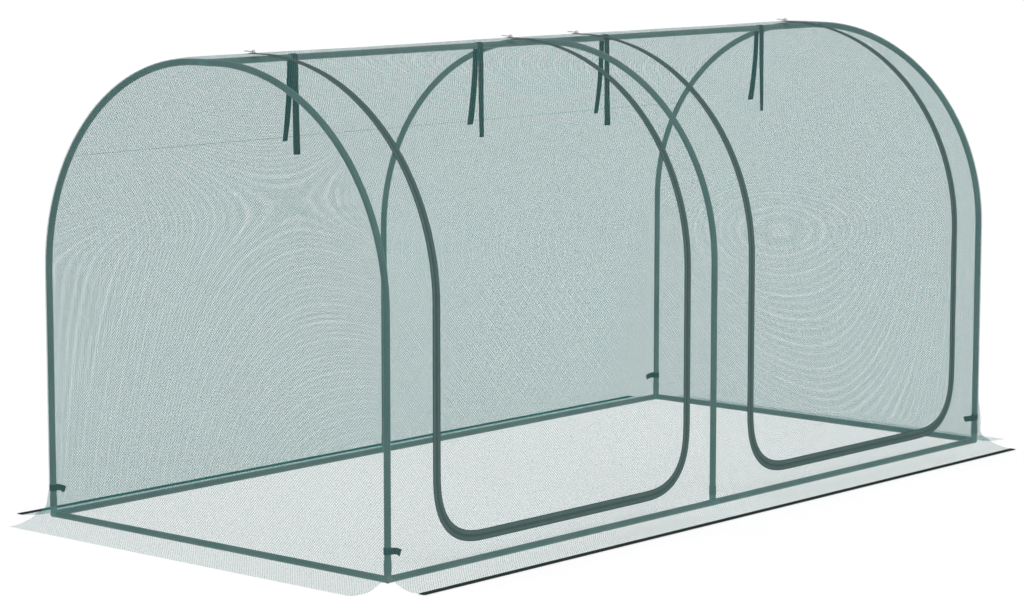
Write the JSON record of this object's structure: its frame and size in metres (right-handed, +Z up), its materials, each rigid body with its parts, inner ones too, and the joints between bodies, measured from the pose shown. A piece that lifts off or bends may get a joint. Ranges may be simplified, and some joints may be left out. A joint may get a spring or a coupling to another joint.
{
  "type": "crop cage",
  "caption": "Tunnel-shaped crop cage: a bent-tube frame under a sewn cover of fine netting, with zipped doors that lift over the ridge and skirts that lie on the ground.",
  "frame": {"origin": "middle of the footprint of the whole cage, skirts included, on the ground", "axes": "+X along the ridge from the near end to the far end, +Y from the front with its doors to the back, +Z up"},
  "size_m": [2.646, 1.383, 1.1717],
  "materials": {
    "green_tube": "dark green powder coat on steel tube, satin",
    "green_fitting": "moulded plastic in the tube's green, matt",
    "green_net": "fine knitted net, pale blue-green, see-through",
    "dark_tape": "woven dark green tape, matt",
    "zip_metal": "plain cast zip metal, light grey, semi-bright"
  },
  "bodies": {
    "cage": {"near_hoop_front_half": "green_tube", "near_hoop_back_half": "green_tube", "middle_hoop_front_half": "green_tube", "middle_hoop_back_half": "green_tube", "far_hoop_front_half": "green_tube", "far_hoop_back_half": "green_tube", "ridge_tube_near": "green_tube", "front_rail_near": "green_tube", "back_rail_near": "green_tube", "near_end_rail": "green_tube", "ridge_tube_far": "green_tube", "front_rail_far": "green_tube", "back_rail_far": "green_tube", "far_end_rail": "green_tube", "near_front_corner_fitting": "green_fitting", "near_back_corner_fitting": "green_fitting", "far_front_corner_fitting": "green_fitting", "far_back_corner_fitting": "green_fitting", "near_ridge_tee": "green_fitting", "far_ridge_tee": "green_fitting", "middle_ridge_cross": "green_fitting", "front_foot_tee": "green_fitting", "back_foot_tee": "green_fitting", "front_net": "green_net", "roof_net": "green_net", "back_net": "green_net", "near_end_net": "green_net", "far_end_net": "green_net", "front_hem_tape": "dark_tape", "back_hem_tape": "dark_tape", "near_door_zip_tape": "dark_tape", "far_door_zip_tape": "dark_tape", "tie_ribbon_1": "dark_tape", "tie_ribbon_2": "dark_tape", "tie_ribbon_3": "dark_tape", "tie_ribbon_4": "dark_tape", "near_front_corner_tie": "dark_tape", "near_back_corner_tie": "dark_tape", "far_front_corner_tie": "dark_tape", "far_back_corner_tie": "dark_tape"},
    "near_door_panel_1": {"near_door_panel_1": "green_net"},
    "near_door_panel_2": {"near_door_panel_2": "green_net"},
    "near_door_panel_3": {"near_door_panel_3": "green_net"},
    "near_door_panel_4": {"near_door_panel_4": "green_net"},
    "near_door_panel_5": {"near_door_panel_5": "green_net"},
    "near_door_panel_6": {"near_door_panel_6": "green_net"},
    "far_door_panel_1": {"far_door_panel_1": "green_net"},
    "far_door_panel_2": {"far_door_panel_2": "green_net"},
    "far_door_panel_3": {"far_door_panel_3": "green_net"},
    "far_door_panel_4": {"far_door_panel_4": "green_net"},
    "far_door_panel_5": {"far_door_panel_5": "green_net"},
    "far_door_panel_6": {"far_door_panel_6": "green_net"},
    "zip_slider_1": {"zip_slider_1": "zip_metal"},
    "pull_tab_1": {"pull_tab_1": "zip_metal"},
    "zip_slider_2": {"zip_slider_2": "zip_metal"},
    "pull_tab_2": {"pull_tab_2": "zip_metal"},
    "zip_slider_3": {"zip_slider_3": "zip_metal"},
    "pull_tab_3": {"pull_tab_3": "zip_metal"},
    "zip_slider_4": {"zip_slider_4": "zip_metal"},
    "pull_tab_4": {"pull_tab_4": "zip_metal"}
  },
  "joints": [
    {"name": "near_door_fold_1", "type": "hinge", "parent": "cage", "child": "near_door_panel_1", "pos_m": [-0.5625, -0.015, 1.1598], "axis": [1, 0, 0], "range_deg": [0, 67.5]},
    {"name": "near_door_fold_2", "type": "hinge", "parent": "near_door_panel_1", "child": "near_door_panel_2", "pos_m": [-0.5625, -0.23753, 1.1147], "axis": [1, 0, 0], "range_deg": [-179.5, 0]},
    {"name": "near_door_fold_3", "type": "hinge", "parent": "near_door_panel_2", "child": "near_door_panel_3", "pos_m": [-0.5625, -0.41994, 0.97951], "axis": [1, 0, 0], "range_deg": [0, 153.5]},
    {"name": "near_door_fold_4", "type": "hinge", "parent": "near_door_panel_3", "child": "near_door_panel_4", "pos_m": [-0.5625, -0.53532, 0.78396], "axis": [1, 0, 0], "range_deg": [-179.5, 0]},
    {"name": "near_door_fold_5", "type": "hinge", "parent": "near_door_panel_4", "child": "near_door_panel_5", "pos_m": [-0.5625, -0.5599, 0.54652], "axis": [1, 0, 0], "range_deg": [0, 161]},
    {"name": "near_door_fold_6", "type": "hinge", "parent": "near_door_panel_5", "child": "near_door_panel_6", "pos_m": [-0.5625, -0.5621, 0.30676], "axis": [1, 0, 0], "range_deg": [-173.5, 0]},
    {"name": "far_door_fold_1", "type": "hinge", "parent": "cage", "child": "far_door_panel_1", "pos_m": [0.6165, -0.015, 1.1598], "axis": [1, 0, 0], "range_deg": [0, 67.5]},
    {"name": "far_door_fold_2", "type": "hinge", "parent": "far_door_panel_1", "child": "far_door_panel_2", "pos_m": [0.6165, -0.23753, 1.1147], "axis": [1, 0, 0], "range_deg": [-179.5, 0]},
    {"name": "far_door_fold_3", "type": "hinge", "parent": "far_door_panel_2", "child": "far_door_panel_3", "pos_m": [0.6165, -0.41994, 0.97951], "axis": [1, 0, 0], "range_deg": [0, 153.5]},
    {"name": "far_door_fold_4", "type": "hinge", "parent": "far_door_panel_3", "child": "far_door_panel_4", "pos_m": [0.6165, -0.53532, 0.78396], "axis": [1, 0, 0], "range_deg": [-179.5, 0]},
    {"name": "far_door_fold_5", "type": "hinge", "parent": "far_door_panel_4", "child": "far_door_panel_5", "pos_m": [0.6165, -0.5599, 0.54652], "axis": [1, 0, 0], "range_deg": [0, 161]},
    {"name": "far_door_fold_6", "type": "hinge", "parent": "far_door_panel_5", "child": "far_door_panel_6", "pos_m": [0.6165, -0.5621, 0.30676], "axis": [1, 0, 0], "range_deg": [-173.5, 0]},
    {"name": "zip_slide_1", "type": "hinge", "parent": "cage", "child": "zip_slider_1", "pos_m": [-1.021, -0.015, 0.6149], "axis": [1, 0, 0], "range_deg": [0, 88]},
    {"name": "tab_swing_1", "type": "hinge", "parent": "zip_slider_1", "child": "pull_tab_1", "pos_m": [-1.021, 0.02, 1.1676], "axis": [1, 0, 0], "range_deg": [-6, 170]},
    {"name": "zip_slide_2", "type": "hinge", "parent": "cage", "child": "zip_slider_2", "pos_m": [-0.104, -0.015, 0.6149], "axis": [1, 0, 0], "range_deg": [0, 88]},
    {"name": "tab_swing_2", "type": "hinge", "parent": "zip_slider_2", "child": "pull_tab_2", "pos_m": [-0.104, 0.02, 1.1676], "axis": [1, 0, 0], "range_deg": [-6, 170]},
    {"name": "zip_slide_3", "type": "hinge", "parent": "cage", "child": "zip_slider_3", "pos_m": [0.158, -0.015, 0.6149], "axis": [1, 0, 0], "range_deg": [0, 88]},
    {"name": "tab_swing_3", "type": "hinge", "parent": "zip_slider_3", "child": "pull_tab_3", "pos_m": [0.158, 0.02, 1.1676], "axis": [1, 0, 0], "range_deg": [-6, 170]},
    {"name": "zip_slide_4", "type": "hinge", "parent": "cage", "child": "zip_slider_4", "pos_m": [1.075, -0.015, 0.6149], "axis": [1, 0, 0], "range_deg": [0, 88]},
    {"name": "tab_swing_4", "type": "hinge", "parent": "zip_slider_4", "child": "pull_tab_4", "pos_m": [1.075, 0.02, 1.1676], "axis": [1, 0, 0], "range_deg": [-6, 170]}
  ],
  "couplings": [
    {"joint": "near_door_fold_2", "follows": "near_door_fold_1", "ratio": -2.6324},
    {"joint": "near_door_fold_3", "follows": "near_door_fold_1", "ratio": 2.25},
    {"joint": "near_door_fold_4", "follows": "near_door_fold_1", "ratio": -2.6555},
    {"joint": "near_door_fold_5", "follows": "near_door_fold_1", "ratio": 2.3613},
    {"joint": "near_door_fold_6", "follows": "near_door_fold_1", "ratio": -2.5441},
    {"joint": "far_door_fold_2", "follows": "far_door_fold_1", "ratio": -2.6324},
    {"joint": "far_door_fold_3", "follows": "far_door_fold_1", "ratio": 2.25},
    {"joint": "far_door_fold_4", "follows": "far_door_fold_1", "ratio": -2.6555},
    {"joint": "far_door_fold_5", "follows": "far_door_fold_1", "ratio": 2.3613},
    {"joint": "far_door_fold_6", "follows": "far_door_fold_1", "ratio": -2.5441}
  ]
}
